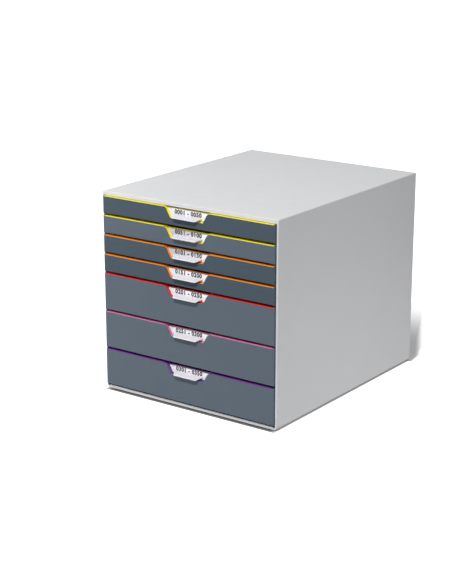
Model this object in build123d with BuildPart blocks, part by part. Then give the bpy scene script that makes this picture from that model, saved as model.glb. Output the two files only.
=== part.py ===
from build123d import *
import math
import os

# Desk drawer unit: a light grey housing with seven drawers, four of one module above three of two modules.
# Each drawer is a coloured tray with a grey front panel. A notch in the top edge of the front holds a label card
# behind a clear window, and a clear grip lip stands out from the window over the panel.
# Frame: X to the right, Y to the back, Z up, with the origin under the middle of the whole unit. Millimetres.

# Housing
housing_width = 292.0
housing_depth = 356.0
side_wall = 2.4
top_wall = 2.6
base_wall = 2.6
top_lip_height = 5.4
base_lip_height = 4.6
lip_depth = 3.0
base_corner_radius = 5.5
top_corner_radius = 1.2
mouth_edge_bevel = 0.6

# Back panel
back_thickness = 2.4
back_inset = 1.0
back_clearance = 0.2

# Feet
foot_diameter = 16.0
foot_proud = 1.5
foot_recess = 0.8
foot_inset = 24.0
foot_clearance = 0.2
foot_edge_bevel = 0.5

# Drawer stack, from the top down: each drawer takes a share of the module pitch, one or two whole modules
module_pitch = 27.65
drawer_module_shares = (1, 1, 1, 1, 2, 2, 2)
front_gap = 3.5
lip_gap = 0.8
base_gap = 2.7

# Front panels
panel_proud = 3.0
panel_thickness = 2.0
panel_side_gap = 0.6
panel_edge_bevel = 0.4
return_depth = 6.5
return_clearance = 0.2
rim_width = 0.7
fit_clearance = 0.1

# Notch in each front
notch_top_width = 72.0
notch_floor_width = 55.4
notch_depth = 15.2
notch_top_radius = 7.5
notch_floor_radius = 2.5
pocket_depth = 5.8

# Trays
tray_wall = 1.6
tray_floor = 1.6
tray_corner_radius = 4.0
wall_drop = 1.3
rear_clearance = 1.0

# Runners
runner_plate = 2.0
runner_side_gap = 0.6
ledge_width = 7.0
ledge_thickness = 1.8
ledge_rise = 0.5
running_clearance = 0.2
closing_gap = 0.3

# Stops: an ear on each tray wall meets a nub under the ledge above
ear_length = 5.0
ear_width = 3.0
ear_from_rear = 70.0
ear_clearance = 0.6
nub_length = 4.0
nub_inset = 2.0
nub_clearance = 0.9

# Label card and window
label_thickness = 0.4
label_top_drop = 2.6
label_side_clearance = 0.6
label_foot_gap = 1.7
window_thickness = 0.8

# Grip lip, a clear shelf that slopes down to the front
grip_proud = 6.0
grip_root_drop = 9.3
grip_angle = 14.2
grip_thickness = 1.3
grip_root_width = 47.4
grip_tip_width = 38.0
grip_corner_radius = 3.0
grip_edge_bevel = 0.4

# Length by which a cut passes the face that it opens
overrun = 1.0

# Places along Y
total_depth = housing_depth + panel_proud + grip_proud
panel_face_y = grip_proud - total_depth / 2
housing_front_y = panel_face_y + panel_proud
housing_back_y = housing_front_y + housing_depth
back_face_y = housing_back_y - back_inset - back_thickness
pocket_back_y = panel_face_y + pocket_depth
card_face_y = pocket_back_y - fit_clearance - label_thickness
window_face_y = card_face_y - window_thickness
grip_tip_y = panel_face_y - grip_proud
runner_front_y = panel_face_y + return_depth + closing_gap
tray_rear_y = back_face_y - rear_clearance

# Places along X
cavity_half = housing_width / 2 - side_wall
panel_half = cavity_half - panel_side_gap
runner_face = cavity_half - runner_plate
tray_half = runner_face - runner_side_gap
ledge_edge = runner_face - ledge_width

# Places along Z
stack_height = sum(drawer_module_shares) * module_pitch - front_gap
shell_height = base_lip_height + base_gap + stack_height + lip_gap + top_lip_height
shell_top = foot_proud + shell_height
cavity_top = shell_top - top_wall
cavity_bottom = foot_proud + base_wall
cavity_radius = base_corner_radius - side_wall
stack_top = shell_top - top_lip_height - lip_gap
guide_gap = front_gap + ledge_rise - ledge_thickness

# Notch outline
notch_slope = (notch_top_width - notch_floor_width) / 2 / notch_depth
notch_cos = math.cos(math.atan(notch_slope))


def notch_half(drop, grow):
    """Half width of the notch at a drop below the front's top edge, with its outline grown outwards."""
    return notch_floor_width / 2 + (notch_depth - drop) * notch_slope + grow / notch_cos


def front_plane(y):
    """Plane at depth y that faces the front, with local axes along X and Z."""
    return Plane.XZ.offset(-y)


def save(builder, name):
    builder.part.label = name
    export_step(builder.part, f"parts/{name}.step")


def draw_notched_outline(half_width, low, high, front_top, grow):
    """Draw a front outline whose top edge is notched, with the notch grown outwards."""
    notch_low = front_top - notch_depth - grow
    top_half = notch_half(front_top - high, grow)
    floor_half = notch_half(notch_depth + grow, grow)
    with BuildLine() as outline:
        Polyline(
            (-half_width, low),
            (half_width, low),
            (half_width, high),
            (top_half, high),
            (floor_half, notch_low),
            (-floor_half, notch_low),
            (-top_half, high),
            (-half_width, high),
            close=True,
        )
    make_face(outline.edges())
    fillet(vertices().group_by(Axis.Y)[1], radius=notch_floor_radius + grow)
    fillet(vertices().group_by(Axis.Y)[-1].sort_by(Axis.X)[1:3], radius=notch_top_radius - grow)


def draw_card_outline(front_top, low_drop):
    """Draw the outline of a card that stands in the notch."""
    top_half = notch_half(label_top_drop, -label_side_clearance)
    low_half = notch_half(low_drop, -label_side_clearance)
    with BuildLine() as outline:
        Polyline(
            (-top_half, front_top - label_top_drop),
            (top_half, front_top - label_top_drop),
            (low_half, front_top - low_drop),
            (-low_half, front_top - low_drop),
            close=True,
        )
    make_face(outline.edges())
    fillet(vertices().group_by(Axis.Y)[0], radius=notch_floor_radius)


def build_tray(name, front_top, front_bottom):
    floor_low = front_bottom + ledge_rise + running_clearance
    wall_top = front_top - wall_drop
    tray_length = tray_rear_y - pocket_back_y
    with BuildPart() as tray:
        # Hollow front section with the notch, its top rim standing over the panel
        with BuildSketch(front_plane(pocket_back_y)):
            draw_notched_outline(tray_half, floor_low, front_top, front_top, 0)
        extrude(amount=pocket_depth)
        with BuildSketch(front_plane(panel_face_y + panel_thickness)):
            with Locations((0, front_top - rim_width)):
                Rectangle(2 * panel_half, front_top - floor_low, align=(Align.CENTER, Align.MAX))
        extrude(amount=panel_thickness + overrun, mode=Mode.SUBTRACT)
        with BuildSketch(front_plane(pocket_back_y)):
            draw_notched_outline(
                tray_half - tray_wall, floor_low - overrun, front_top - tray_wall, front_top, tray_wall
            )
        extrude(amount=pocket_depth - panel_thickness - tray_wall, mode=Mode.SUBTRACT)

        # Inner front wall, as high as the front section
        with BuildSketch(front_plane(pocket_back_y + tray_wall)):
            with Locations((0, floor_low)):
                Rectangle(2 * tray_half, front_top - floor_low, align=(Align.CENTER, Align.MIN))
        extrude(amount=tray_wall)

        # Open box behind it
        with BuildSketch(Plane.XY.offset(floor_low)):
            with Locations((0, pocket_back_y)):
                Rectangle(2 * tray_half, tray_length, align=(Align.CENTER, Align.MIN))
            fillet(vertices().group_by(Axis.Y)[-1], radius=tray_corner_radius)
        extrude(amount=wall_top - floor_low)
        with BuildSketch(Plane.XY.offset(floor_low + tray_floor)):
            with Locations((0, pocket_back_y + tray_wall)):
                Rectangle(
                    2 * (tray_half - tray_wall), tray_length - 2 * tray_wall, align=(Align.CENTER, Align.MIN)
                )
            fillet(vertices().group_by(Axis.Y)[-1], radius=tray_corner_radius - tray_wall)
        extrude(amount=front_top - floor_low, mode=Mode.SUBTRACT)

        # Slot over the label, down to the height of the other walls
        slot_top_half = notch_half(0, 0)
        slot_low_half = notch_half(wall_drop, 0)
        with BuildSketch(front_plane(pocket_back_y + tray_wall)):
            with BuildLine() as slot:
                Polyline(
                    (-slot_top_half, front_top),
                    (slot_top_half, front_top),
                    (slot_low_half, wall_top),
                    (-slot_low_half, wall_top),
                    close=True,
                )
            make_face(slot.edges())
        extrude(amount=tray_wall, mode=Mode.SUBTRACT)

        # Stop ears on top of the side walls
        ear_top = front_top + guide_gap - ear_clearance
        with BuildSketch(Plane.XY.offset(wall_top - ear_width)):
            with Locations(
                (tray_half - ear_width / 2, tray_rear_y - ear_from_rear),
                (ear_width / 2 - tray_half, tray_rear_y - ear_from_rear),
            ):
                Rectangle(ear_width, ear_length, align=(Align.CENTER, Align.MAX))
        extrude(amount=ear_top - wall_top + ear_width)
    save(tray, name)


def build_front_panel(name, front_top, front_bottom):
    panel_top = front_top - rim_width - fit_clearance
    return_face = tray_half + return_clearance
    with BuildPart() as front_panel:
        with BuildSketch(front_plane(panel_face_y + panel_thickness)):
            draw_notched_outline(panel_half, front_bottom, panel_top, front_top, 0)
        extrude(amount=panel_thickness)
        # Returns that cover the ends of the tray's front section
        with BuildSketch(front_plane(panel_face_y + return_depth)):
            with Locations(
                ((panel_half + return_face) / 2, front_bottom), (-(panel_half + return_face) / 2, front_bottom)
            ):
                Rectangle(panel_half - return_face, front_top - front_bottom, align=(Align.CENTER, Align.MIN))
        extrude(amount=return_depth)
        chamfer(front_panel.faces().sort_by(Axis.Y)[0].edges(), length=panel_edge_bevel)
    save(front_panel, name)


def build_label(name, front_top):
    with BuildPart() as label:
        with BuildSketch(front_plane(card_face_y + label_thickness)):
            draw_card_outline(front_top, notch_depth - label_foot_gap)
        extrude(amount=label_thickness)
    save(label, name)


def build_label_window(name, front_top):
    with BuildPart() as label_window:
        with BuildSketch(front_plane(card_face_y)):
            draw_card_outline(front_top, notch_depth - fit_clearance)
        extrude(amount=window_thickness)
    save(label_window, name)


def build_grip(name, front_top):
    root_top = front_top - grip_root_drop
    tip_top = root_top - (window_face_y - grip_tip_y) * math.tan(math.radians(grip_angle))
    tip_low = tip_top - grip_thickness
    with BuildPart() as grip:
        with BuildSketch(Plane.YZ):
            with BuildLine() as profile:
                Polyline(
                    (window_face_y, root_top),
                    (grip_tip_y, tip_top),
                    (grip_tip_y, tip_low),
                    (window_face_y, root_top - grip_thickness),
                    close=True,
                )
            make_face(profile.edges())
        extrude(amount=grip_root_width, both=True)
        # Outline in plan, narrower towards the front
        with BuildSketch(Plane.XY.offset(tip_low)):
            with BuildLine() as outline:
                Polyline(
                    (-grip_root_width / 2, window_face_y),
                    (grip_root_width / 2, window_face_y),
                    (grip_tip_width / 2, grip_tip_y),
                    (-grip_tip_width / 2, grip_tip_y),
                    close=True,
                )
            make_face(outline.edges())
            fillet(vertices().group_by(Axis.Y)[0], radius=grip_corner_radius)
        extrude(amount=root_top - tip_low, mode=Mode.INTERSECT)
        # Bevelled upper edge, all but the root
        upper_face = grip.faces().sort_by(SortBy.AREA)[-2:].sort_by(Axis.Z)[-1]
        chamfer(upper_face.edges().sort_by(Axis.Y)[:-1], length=grip_edge_bevel)
    save(grip, name)


def build_runners(name, side, fronts):
    """Runner panel of one side: a plate with a ledge under each tray and a stop nub above each tray."""
    plate_low = cavity_bottom + cavity_radius
    runner_length = back_face_y - runner_front_y
    with BuildPart() as runners:
        with BuildSketch(front_plane(back_face_y)):
            with Locations((side * (cavity_half + runner_face) / 2, plate_low)):
                Rectangle(runner_plate, cavity_top - plate_low, align=(Align.CENTER, Align.MIN))
            for front_top, front_bottom in fronts:
                with Locations((side * (runner_face + ledge_edge) / 2, front_bottom + ledge_rise)):
                    Rectangle(ledge_width, ledge_thickness, align=(Align.CENTER, Align.MAX))
            with Locations((side * (runner_face + ledge_edge) / 2, stack_top + guide_gap)):
                Rectangle(ledge_width, cavity_top - stack_top - guide_gap, align=(Align.CENTER, Align.MIN))
        extrude(amount=runner_length)
        for front_top, front_bottom in fronts:
            nub_low = front_top - wall_drop + nub_clearance
            with BuildSketch(Plane.XY.offset(nub_low)):
                with Locations((side * (runner_face + ledge_edge) / 2, runner_front_y + nub_inset)):
                    Rectangle(ledge_width, nub_length, align=(Align.CENTER, Align.MIN))
            extrude(amount=front_top + guide_gap - nub_low)
    save(runners, name)


def build_housing_shell(name):
    with BuildPart() as housing_shell:
        with BuildSketch(front_plane(housing_back_y)):
            with Locations((0, foot_proud)):
                Rectangle(housing_width, shell_height, align=(Align.CENTER, Align.MIN))
            fillet(vertices().group_by(Axis.Y)[0], radius=base_corner_radius)
            fillet(vertices().group_by(Axis.Y)[-1], radius=top_corner_radius)
        extrude(amount=housing_depth)
        chamfer(housing_shell.faces().filter_by(Axis.Y).edges(), length=mouth_edge_bevel)
        with BuildSketch(front_plane(housing_back_y)):
            with Locations((0, cavity_bottom)):
                Rectangle(2 * cavity_half, cavity_top - cavity_bottom, align=(Align.CENTER, Align.MIN))
            fillet(vertices().group_by(Axis.Y)[0], radius=cavity_radius)
        extrude(amount=housing_depth, mode=Mode.SUBTRACT)

        # Lips across the mouth, above and below the drawers
        with BuildSketch(front_plane(housing_front_y + mouth_edge_bevel + lip_depth)):
            with Locations((0, cavity_top)):
                Rectangle(2 * cavity_half, top_lip_height - top_wall, align=(Align.CENTER, Align.MAX))
            with Locations((0, cavity_bottom)):
                Rectangle(
                    2 * (cavity_half - cavity_radius),
                    base_lip_height - base_wall,
                    align=(Align.CENTER, Align.MIN),
                )
        extrude(amount=lip_depth + mouth_edge_bevel)

        # Recesses for the feet
        with BuildSketch(Plane.XY.offset(foot_proud)):
            with Locations(*foot_places):
                Circle(foot_diameter / 2 + foot_clearance)
        extrude(amount=foot_recess, mode=Mode.SUBTRACT)
    save(housing_shell, name)


def build_back_panel(name):
    with BuildPart() as back_panel:
        with BuildSketch(front_plane(back_face_y + back_thickness)):
            with Locations((0, cavity_bottom + back_clearance)):
                Rectangle(
                    2 * (cavity_half - back_clearance),
                    cavity_top - cavity_bottom - 2 * back_clearance,
                    align=(Align.CENTER, Align.MIN),
                )
            fillet(vertices().group_by(Axis.Y)[0], radius=cavity_radius)
        extrude(amount=back_thickness)
    save(back_panel, name)


def build_foot(name, place):
    with BuildPart() as foot:
        with BuildSketch(Plane.XY):
            with Locations(place):
                Circle(foot_diameter / 2)
        extrude(amount=foot_proud + foot_recess)
        chamfer(foot.faces().sort_by(Axis.Z)[0].edges(), length=foot_edge_bevel)
    save(foot, name)


os.makedirs("parts", exist_ok=True)

foot_x = housing_width / 2 - foot_inset
foot_places = [
    (-foot_x, housing_front_y + foot_inset),
    (foot_x, housing_front_y + foot_inset),
    (-foot_x, housing_back_y - foot_inset),
    (foot_x, housing_back_y - foot_inset),
]
foot_names = ["foot_front_left", "foot_front_right", "foot_back_left", "foot_back_right"]

fronts = []
next_top = stack_top
for module_share in drawer_module_shares:
    fronts.append((next_top, next_top - module_share * module_pitch + front_gap))
    next_top -= module_share * module_pitch

build_housing_shell("housing_shell")
build_back_panel("back_panel")
build_runners("left_runners", -1, fronts)
build_runners("right_runners", 1, fronts)
for foot_name, foot_place in zip(foot_names, foot_places):
    build_foot(foot_name, foot_place)
for number, (front_top, front_bottom) in enumerate(fronts, start=1):
    build_tray(f"tray_{number}", front_top, front_bottom)
    build_front_panel(f"front_panel_{number}", front_top, front_bottom)
    build_label(f"label_{number}", front_top)
    build_label_window(f"label_window_{number}", front_top)
    build_grip(f"grip_{number}", front_top)

ear_front_y = tray_rear_y - ear_from_rear - ear_length
nub_back_y = runner_front_y + nub_inset + nub_length
print("drawer travel", round(ear_front_y - nub_back_y, 3))
print("panel face", round(panel_face_y, 3), "back", round(housing_back_y, 3), "top", round(shell_top, 3))
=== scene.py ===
import math

import bpy
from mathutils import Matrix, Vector


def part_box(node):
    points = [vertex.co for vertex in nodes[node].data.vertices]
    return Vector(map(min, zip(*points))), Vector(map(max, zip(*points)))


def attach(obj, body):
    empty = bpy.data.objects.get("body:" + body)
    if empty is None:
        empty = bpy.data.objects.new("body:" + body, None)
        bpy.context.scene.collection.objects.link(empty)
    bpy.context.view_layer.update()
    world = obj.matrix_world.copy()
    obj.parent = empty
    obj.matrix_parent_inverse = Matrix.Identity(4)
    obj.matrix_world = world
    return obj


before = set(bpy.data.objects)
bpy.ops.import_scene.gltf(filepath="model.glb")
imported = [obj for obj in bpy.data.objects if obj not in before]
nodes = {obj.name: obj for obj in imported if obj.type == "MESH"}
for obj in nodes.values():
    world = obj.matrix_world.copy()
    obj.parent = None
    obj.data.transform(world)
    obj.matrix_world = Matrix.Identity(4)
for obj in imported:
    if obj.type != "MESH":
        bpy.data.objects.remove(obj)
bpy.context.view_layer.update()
scene = bpy.context.scene

# Drawers from the top down
DRAWERS = range(1, 8)
TRAY_COLOURS = ("yellow", "yellow", "orange", "orange", "red", "pink", "purple")
# Drawers whose fronts take a darker, duller copy of the front grey: the darker colour is painted shade, with
# rougher, less glossy plastic
SHADED_DULL_FRONTS = (1, 3, 4)

# Printed numbers on the labels
NUMBERS_PER_LABEL = 50
NUMBER_HEIGHT = 0.0056
NUMBER_HEIGHT_PER_SIZE = 0.7
NUMBER_DROP = 0.0039
NUMBER_BOLDNESS = 0.00045
NUMBER_SPACING = 1.14
PRINT_LIFT = 0.00004

# Plastic and card
NOISE_MIDDLE = (0.3, 0.7)
DRIFT_WAVES = 14
ROUGHNESS_WAVES = 60
ROUGHNESS_SWING = 0.04
SPECKLE_SHARE = 0.35
GRAIN_STRENGTH = 0.5
FIBRE_WAVES = 900
FIBRE_STRETCH = (1, 1, 3)
FIBRE_STRENGTH = 0.2
FIBRE_DEPTH = 0.00001
CARD_SPECULAR = 0.3
WINDOW_HAZE_WAVES = 300
WINDOW_ALPHA = 0.03
CLOUD_WAVES = 250
CLOUD_ALPHA = 0.95
UPPER_FACING = (0.4, 0.9)

# Floor: where the base ends in view, and the right back corner that its painted shadow leaves from
FLOOR_REACH = 12
BASE_SIDE_X = 0.1435
BASE_FRONT_Y = -0.1765
BASE_BACK_Y = 0.1825
CORNER_X = 0.146
CORNER_Y = 0.182
SIDE_STRIP_X = 0.1375

# Floor: how much it glows and how dark it is in the open, and in the painted shade at the base and the
# painted shadow behind it
OPEN_GLOW = 1.0
SHADOW_GLOW = 0.33
SIDE_GLOW = 0.2
OPEN_SHADE = 0.6
SHADOW_SHADE = 0.1
FRONT_SHADE = 0.15
SIDE_SHADE = 0.4

# Floor: spans over which one changes to the other
BASE_GLOW_SPAN = (0.0, 0.0035)
SIDE_GLOW_SPAN = (-0.008, -0.002)
BASE_SHADE_SPAN = (0.0, 0.003)
SIDE_SHADE_SPAN = (-0.003, 0.0)
SHADOW_SHADE_SPAN = (SHADOW_GLOW, 0.9)
SHADOW_CORE_INSET = 0.06
SHADOW_CORE_Y = 0.2
SHADOW_FADE = (0.05, 0.3)
SHADOW_FOOT_NORMAL = (0.985, 0.174)
SHADOW_FOOT_SPAN = (0.001, 0.008)
SHADOW_RIGHT_NORMAL = (0.877, 0.48)
SHADOW_RIGHT_SPAN = (0.007, 0.024)
SIDE_STRIP_SPAN = (0.0, 0.003)
PAINTED_REFLECTION_FADE = (0.4, 1.0)

# World and lights: name, place, target, size, watts
WORLD_STRENGTH = 0.1
MIDDLE = (0, 0, 0.144)
LOWER_MIDDLE = (0, 0, 0.1)
LIGHTS = (
    ("key", (0.62, -1.962, 2.595), MIDDLE, 0.1, 94.0),
    ("left_low", (-0.692, -0.399, 0.156), LOWER_MIDDLE, 0.3, 0.9),
    ("left_near", (-0.6, -0.346, 0.544), MIDDLE, 0.5, 1.7),
    ("fill", (0.7, 0, 0.144), MIDDLE, 0.3, 0.58),
    ("back_low", (0.08, 1.1, 0.14), MIDDLE, 0.25, 2.6),
)

# Camera at the photograph's viewing angle, in metres, degrees and millimetres
CAMERA_PLACE = (1.1896, -1.72415, 0.7483)
CAMERA_TURN = 35.98
CAMERA_DIP = 16.55
CAMERA_LENS = 93.52
CAMERA_SENSOR = 36
CAMERA_REACH = 100


def new_material(name):
    material = bpy.data.materials.new(name)
    material.use_nodes = True
    tree = material.node_tree
    return material, tree, tree.nodes["Principled BSDF"]


def math_node(tree, operation, first, second=0):
    """One arithmetic node on one or two sockets or numbers."""
    node = tree.nodes.new("ShaderNodeMath")
    node.operation = operation
    for socket, value in zip(node.inputs, (first, second)):
        if isinstance(value, (int, float)):
            socket.default_value = value
        else:
            tree.links.new(value, socket)
    return node.outputs["Value"]


def map_range(tree, value, span, result, interpolation="LINEAR"):
    """Map a span of a value onto a range of numbers, which ends at both sides."""
    node = tree.nodes.new("ShaderNodeMapRange")
    node.interpolation_type = interpolation
    node.inputs["From Min"].default_value = span[0]
    node.inputs["From Max"].default_value = span[1]
    node.inputs["To Min"].default_value = result[0]
    node.inputs["To Max"].default_value = result[1]
    tree.links.new(value, node.inputs["Value"])
    return node.outputs["Result"]


def ramp(tree, value, span, low, high):
    """Smooth step of a value from one number to another."""
    return map_range(tree, value, span, (low, high), "SMOOTHSTEP")


def noise(tree, waves, detail, stretch=(1, 1, 1)):
    """Noise in the frame's own metres, in waves per metre."""
    place = tree.nodes.new("ShaderNodeTexCoord")
    mapping = tree.nodes.new("ShaderNodeMapping")
    mapping.inputs["Scale"].default_value = stretch
    tree.links.new(place.outputs["Object"], mapping.inputs["Vector"])
    texture = tree.nodes.new("ShaderNodeTexNoise")
    texture.inputs["Scale"].default_value = waves
    texture.inputs["Detail"].default_value = detail
    tree.links.new(mapping.outputs["Vector"], texture.inputs["Vector"])
    return texture.outputs["Fac"]


def spread(tree, value, low, high):
    """Map the middle of a noise onto a range of numbers."""
    return map_range(tree, value, NOISE_MIDDLE, (low, high))


def shade_mix(tree, factor, colour, drift):
    """Mix from a darker to a lighter copy of a colour."""
    mix = tree.nodes.new("ShaderNodeMix")
    mix.data_type = "RGBA"
    mix.inputs["A"].default_value = (*((1 - drift) * c for c in colour), 1)
    mix.inputs["B"].default_value = (*((1 + drift) * c for c in colour), 1)
    tree.links.new(factor, mix.inputs["Factor"])
    return mix.outputs["Result"]


def add_bump(tree, shader, height, strength, distance):
    bump = tree.nodes.new("ShaderNodeBump")
    bump.inputs["Strength"].default_value = strength
    bump.inputs["Distance"].default_value = distance
    tree.links.new(height, bump.inputs["Height"])
    tree.links.new(bump.outputs["Normal"], shader.inputs["Normal"])


def moulded_plastic(name, colour, roughness, grain=1500, depth=0.00004, drift=0.03, specular=0.5):
    """Satin moulded plastic: slow drift of shade, fine speckle, spark-eroded grain."""
    material, tree, shader = new_material(name)
    slow = noise(tree, DRIFT_WAVES, detail=3)
    fine = noise(tree, grain, detail=2)
    speckle = math_node(tree, "MULTIPLY", fine, SPECKLE_SHARE)
    blend = math_node(tree, "ADD", speckle, math_node(tree, "MULTIPLY", slow, 1 - SPECKLE_SHARE))
    tint = shade_mix(tree, spread(tree, blend, 0, 1), colour, drift)
    tree.links.new(tint, shader.inputs["Base Color"])
    rough = noise(tree, ROUGHNESS_WAVES, detail=4)
    rough = spread(tree, rough, roughness - ROUGHNESS_SWING, roughness + ROUGHNESS_SWING)
    tree.links.new(rough, shader.inputs["Roughness"])
    shader.inputs["Specular IOR Level"].default_value = specular
    add_bump(tree, shader, fine, GRAIN_STRENGTH, depth)
    return material


def paper_card(name, colour):
    """White card with short fibres."""
    material, tree, shader = new_material(name)
    fibres = noise(tree, FIBRE_WAVES, detail=5, stretch=FIBRE_STRETCH)
    tint = shade_mix(tree, spread(tree, fibres, 0, 1), colour, drift=0.01)
    tree.links.new(tint, shader.inputs["Base Color"])
    tree.links.new(spread(tree, fibres, 0.7, 0.82), shader.inputs["Roughness"])
    shader.inputs["Specular IOR Level"].default_value = CARD_SPECULAR
    add_bump(tree, shader, fibres, FIBRE_STRENGTH, FIBRE_DEPTH)
    return material


def clear_plastic(name, colour):
    """Clear moulded window."""
    material, tree, shader = new_material(name)
    haze = noise(tree, WINDOW_HAZE_WAVES, detail=3)
    tint = shade_mix(tree, spread(tree, haze, 0, 1), colour, drift=0.02)
    tree.links.new(tint, shader.inputs["Base Color"])
    tree.links.new(spread(tree, haze, 0.12, 0.2), shader.inputs["Roughness"])
    shader.inputs["Alpha"].default_value = WINDOW_ALPHA
    return material


def cloudy_plastic(name, face, edge):
    """Cloudy clear plastic with painted light by facing: a painted highlight on the edges and sides, as if
    they gathered light, and painted shade on the upward face.
    """
    material, tree, shader = new_material(name)
    haze = noise(tree, CLOUD_WAVES, detail=3)
    geometry = tree.nodes.new("ShaderNodeNewGeometry")
    facing = tree.nodes.new("ShaderNodeSeparateXYZ")
    tree.links.new(geometry.outputs["True Normal"], facing.inputs["Vector"])
    upper = map_range(tree, facing.outputs["Z"], UPPER_FACING, (0, 1))
    level = spread(tree, haze, 0, 1)
    mix = tree.nodes.new("ShaderNodeMix")
    mix.data_type = "RGBA"
    tree.links.new(upper, mix.inputs["Factor"])
    tree.links.new(shade_mix(tree, level, edge, drift=0.02), mix.inputs["A"])
    tree.links.new(shade_mix(tree, level, face, drift=0.02), mix.inputs["B"])
    tree.links.new(mix.outputs["Result"], shader.inputs["Base Color"])
    tree.links.new(spread(tree, haze, 0.2, 0.3), shader.inputs["Roughness"])
    shader.inputs["Alpha"].default_value = CLOUD_ALPHA
    return material


# Materials of the CAD pieces and of the print
housing_grey = moulded_plastic(
    "housing_grey", (0.62, 0.625, 0.635), roughness=0.45, depth=0.00003, drift=0.012
)
runner_grey = moulded_plastic("runner_grey", (0.55, 0.555, 0.565), roughness=0.5)
front_grey = moulded_plastic("front_grey", (0.087, 0.114, 0.143), roughness=0.42, specular=0.2)
# Painted shade: a darker copy of the front grey for drawers 1, 3 and 4, also rougher and less glossy
front_dull_shaded = moulded_plastic("front_dull_shaded", (0.059, 0.082, 0.104), roughness=0.5, specular=0.1)
trays = {
    "yellow": moulded_plastic("tray_yellow", (0.87, 0.74, 0.02), roughness=0.42),
    "orange": moulded_plastic("tray_orange", (0.87, 0.27, 0.012), roughness=0.42),
    "red": moulded_plastic("tray_red", (0.67, 0.02, 0.022), roughness=0.42),
    "pink": moulded_plastic("tray_pink", (0.61, 0.17, 0.38), roughness=0.42),
    "purple": moulded_plastic("tray_purple", (0.156, 0.027, 0.264), roughness=0.42),
}
label_white = paper_card("label_white", (0.91, 0.9, 0.93))
window_clear = clear_plastic("window_clear", (0.8, 0.8, 0.84))
# Grip lips: painted shade on the upward face, painted highlight on the edges and sides
grip_clear = cloudy_plastic("grip_clear", face=(0.68, 0.665, 0.725), edge=(0.8, 0.79, 0.83))
foot_rubber = moulded_plastic("foot_rubber", (0.03, 0.03, 0.032), roughness=0.75, grain=800, drift=0.1)
ink_black = moulded_plastic("ink_black", (0.012, 0.012, 0.014), roughness=0.6, grain=3000, drift=0.2)

finishes = {
    "housing_shell": housing_grey,
    "back_panel": housing_grey,
    "left_runners": runner_grey,
    "right_runners": runner_grey,
}
for foot in ("foot_front_left", "foot_front_right", "foot_back_left", "foot_back_right"):
    finishes[foot] = foot_rubber
for n, colour in zip(DRAWERS, TRAY_COLOURS):
    finishes[f"tray_{n}"] = trays[colour]
    finishes[f"front_panel_{n}"] = front_dull_shaded if n in SHADED_DULL_FRONTS else front_grey
    finishes[f"label_{n}"] = label_white
    finishes[f"label_window_{n}"] = window_clear
    finishes[f"grip_{n}"] = grip_clear
for name, material in finishes.items():
    slots = nodes[name].data.materials
    slots.clear()
    slots.append(material)

# Printed numbers on each label, above the grip lip
for n in DRAWERS:
    low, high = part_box(f"label_{n}")
    last = n * NUMBERS_PER_LABEL
    first = last - NUMBERS_PER_LABEL + 1
    print_curve = bpy.data.curves.new(f"number_{n}", "FONT")
    print_curve.body = f"{first:04d} - {last:04d}"
    print_curve.align_x = "CENTER"
    print_curve.align_y = "CENTER"
    print_curve.size = NUMBER_HEIGHT / NUMBER_HEIGHT_PER_SIZE
    print_curve.offset = NUMBER_BOLDNESS
    print_curve.space_character = NUMBER_SPACING
    print_curve.materials.append(ink_black)
    number = bpy.data.objects.new(f"number_{n}", print_curve)
    scene.collection.objects.link(number)
    number.location = (0, low.y - PRINT_LIFT, high.z - NUMBER_DROP)
    number.rotation_euler = (math.radians(90), 0, 0)
    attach(number, f"drawer_{n}")


def past_line(tree, x, y, normal):
    """Distance past a slanting line through the right back corner of the base."""
    across = math_node(tree, "MULTIPLY", math_node(tree, "SUBTRACT", x, CORNER_X), normal[0])
    along = math_node(tree, "MULTIPLY", math_node(tree, "SUBTRACT", y, CORNER_Y), normal[1])
    return math_node(tree, "ADD", across, along)


def shadow_clearance(tree, x, y, beside):
    """Glow of the floor by the painted shadow behind the base: low in its core, full outside its edges."""
    past_side = math_node(tree, "MAXIMUM", math_node(tree, "ADD", beside, SHADOW_CORE_INSET), 0)
    past_back = math_node(tree, "SUBTRACT", y, SHADOW_CORE_Y)
    square = math_node(
        tree, "ADD", math_node(tree, "POWER", past_side, 2), math_node(tree, "POWER", past_back, 2)
    )
    from_core = math_node(tree, "SQRT", square)
    side_strip = math_node(
        tree,
        "MINIMUM",
        math_node(tree, "SUBTRACT", x, SIDE_STRIP_X),
        math_node(tree, "SUBTRACT", CORNER_Y, y),
    )
    clearance = ramp(tree, from_core, SHADOW_FADE, SHADOW_GLOW, OPEN_GLOW)
    for distance, span in (
        (past_line(tree, x, y, SHADOW_FOOT_NORMAL), SHADOW_FOOT_SPAN),
        (past_line(tree, x, y, SHADOW_RIGHT_NORMAL), SHADOW_RIGHT_SPAN),
        (side_strip, SIDE_STRIP_SPAN),
    ):
        edge = ramp(tree, distance, span, SHADOW_GLOW, OPEN_GLOW)
        clearance = math_node(tree, "MAXIMUM", clearance, edge)
    return clearance


def mirrored_ray(tree, path):
    return math_node(tree, "MAXIMUM", path.outputs["Is Glossy Ray"], path.outputs["Is Transmission Ray"])


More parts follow.
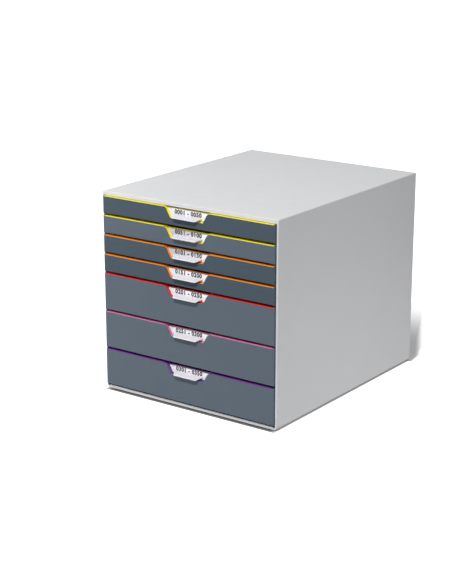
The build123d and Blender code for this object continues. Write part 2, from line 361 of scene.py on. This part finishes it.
# Floor: plain white where the camera sees it, with the lights' own shadow and a painted shadow under and
# behind it, where its glow and colour are cut down in a set shape
floor_mesh = bpy.data.meshes.new("floor")
floor_corners = [(x * FLOOR_REACH, y * FLOOR_REACH, 0) for x, y in ((-1, -1), (1, -1), (1, 1), (-1, 1))]
floor_mesh.from_pydata(floor_corners, [], [(0, 1, 2, 3)])
floor = bpy.data.objects.new("floor", floor_mesh)
scene.collection.objects.link(floor)
floor_white, tree, shader = new_material("floor_white")
shader.inputs["Roughness"].default_value = 0.9
shader.inputs["Specular IOR Level"].default_value = 0.0
shader.inputs["Emission Color"].default_value = (1, 1, 1, 1)
place = tree.nodes.new("ShaderNodeTexCoord")
axes = tree.nodes.new("ShaderNodeSeparateXYZ")
tree.links.new(place.outputs["Object"], axes.inputs["Vector"])
x_axis = axes.outputs["X"]
y_axis = axes.outputs["Y"]
beside = math_node(tree, "SUBTRACT", math_node(tree, "ABSOLUTE", x_axis), BASE_SIDE_X)
from_middle = math_node(tree, "SUBTRACT", y_axis, (BASE_FRONT_Y + BASE_BACK_Y) / 2)
before = math_node(
    tree, "SUBTRACT", math_node(tree, "ABSOLUTE", from_middle), (BASE_BACK_Y - BASE_FRONT_Y) / 2
)
from_base = math_node(tree, "MAXIMUM", beside, before)
# Painted shade along the base: the glow drops to nothing within a few millimetres of the base, with a little
# kept beside its sides
clear_of_base = math_node(
    tree,
    "MAXIMUM",
    ramp(tree, from_base, BASE_GLOW_SPAN, 0, OPEN_GLOW),
    ramp(tree, beside, SIDE_GLOW_SPAN, 0, SIDE_GLOW),
)
clear_of_shadow = shadow_clearance(tree, x_axis, y_axis, beside)
# Painted shade in the floor's colour: a dark line along the front and back of the base, a lighter one beside
# its sides, and the painted shadow behind it
painted_contact_shade = math_node(
    tree,
    "MAXIMUM",
    ramp(tree, from_base, BASE_SHADE_SPAN, FRONT_SHADE, OPEN_SHADE),
    ramp(tree, beside, SIDE_SHADE_SPAN, 0, SIDE_SHADE),
)
painted_shadow_shade = ramp(tree, clear_of_shadow, SHADOW_SHADE_SPAN, SHADOW_SHADE, OPEN_SHADE)
shade = math_node(tree, "MINIMUM", painted_contact_shade, painted_shadow_shade)
floor_colour = tree.nodes.new("ShaderNodeCombineColor")
for channel in ("Red", "Green", "Blue"):
    tree.links.new(shade, floor_colour.inputs[channel])
tree.links.new(floor_colour.outputs["Color"], shader.inputs["Base Color"])
path = tree.nodes.new("ShaderNodeLightPath")
clear = math_node(tree, "MULTIPLY", clear_of_base, clear_of_shadow)
seen = math_node(tree, "MULTIPLY", clear, path.outputs["Is Camera Ray"])
# Painted reflection: the floor also glows in glossy and transmission rays, fully within 0.4 metres of its
# middle and gone beyond a metre
radius = tree.nodes.new("ShaderNodeVectorMath")
radius.operation = "LENGTH"
tree.links.new(place.outputs["Object"], radius.inputs[0])
near = ramp(tree, radius.outputs["Value"], PAINTED_REFLECTION_FADE, 1, 0)
painted_reflection_glow = math_node(tree, "MULTIPLY", near, mirrored_ray(tree, path))
tree.links.new(math_node(tree, "ADD", seen, painted_reflection_glow), shader.inputs["Emission Strength"])
floor_mesh.materials.append(floor_white)

# World: plain soft light, white where it is seen
world = bpy.data.worlds.new("studio")
scene.world = world
world.use_nodes = True
tree = world.node_tree
background = tree.nodes["Background"]
background.inputs["Color"].default_value = (1, 1, 1, 1)
path = tree.nodes.new("ShaderNodeLightPath")
visible = math_node(tree, "MAXIMUM", path.outputs["Is Camera Ray"], mirrored_ray(tree, path))
strength = map_range(tree, visible, (0, 1), (WORLD_STRENGTH, 1))
tree.links.new(strength, background.inputs["Strength"])

# Lights: key above the right of the front, soft ones on the left of the front, weak low ones right and behind
for name, place, target, size, watts in LIGHTS:
    lamp = bpy.data.lights.new(name, "AREA")
    lamp.shape = "DISK"
    lamp.size = size
    lamp.energy = watts
    light = bpy.data.objects.new(name, lamp)
    light.visible_camera = False
    scene.collection.objects.link(light)
    light.location = place
    light.rotation_euler = (Vector(target) - Vector(place)).to_track_quat("-Z", "Y").to_euler()

# Camera
camera_data = bpy.data.cameras.new("camera")
camera_data.lens = CAMERA_LENS
camera_data.sensor_width = CAMERA_SENSOR
camera_data.clip_end = CAMERA_REACH
camera = bpy.data.objects.new("camera", camera_data)
scene.collection.objects.link(camera)
camera.location = CAMERA_PLACE
camera.rotation_euler = (math.radians(90 - CAMERA_DIP), 0, math.radians(CAMERA_TURN))
scene.camera = camera
scene.view_settings.view_transform = "Standard"
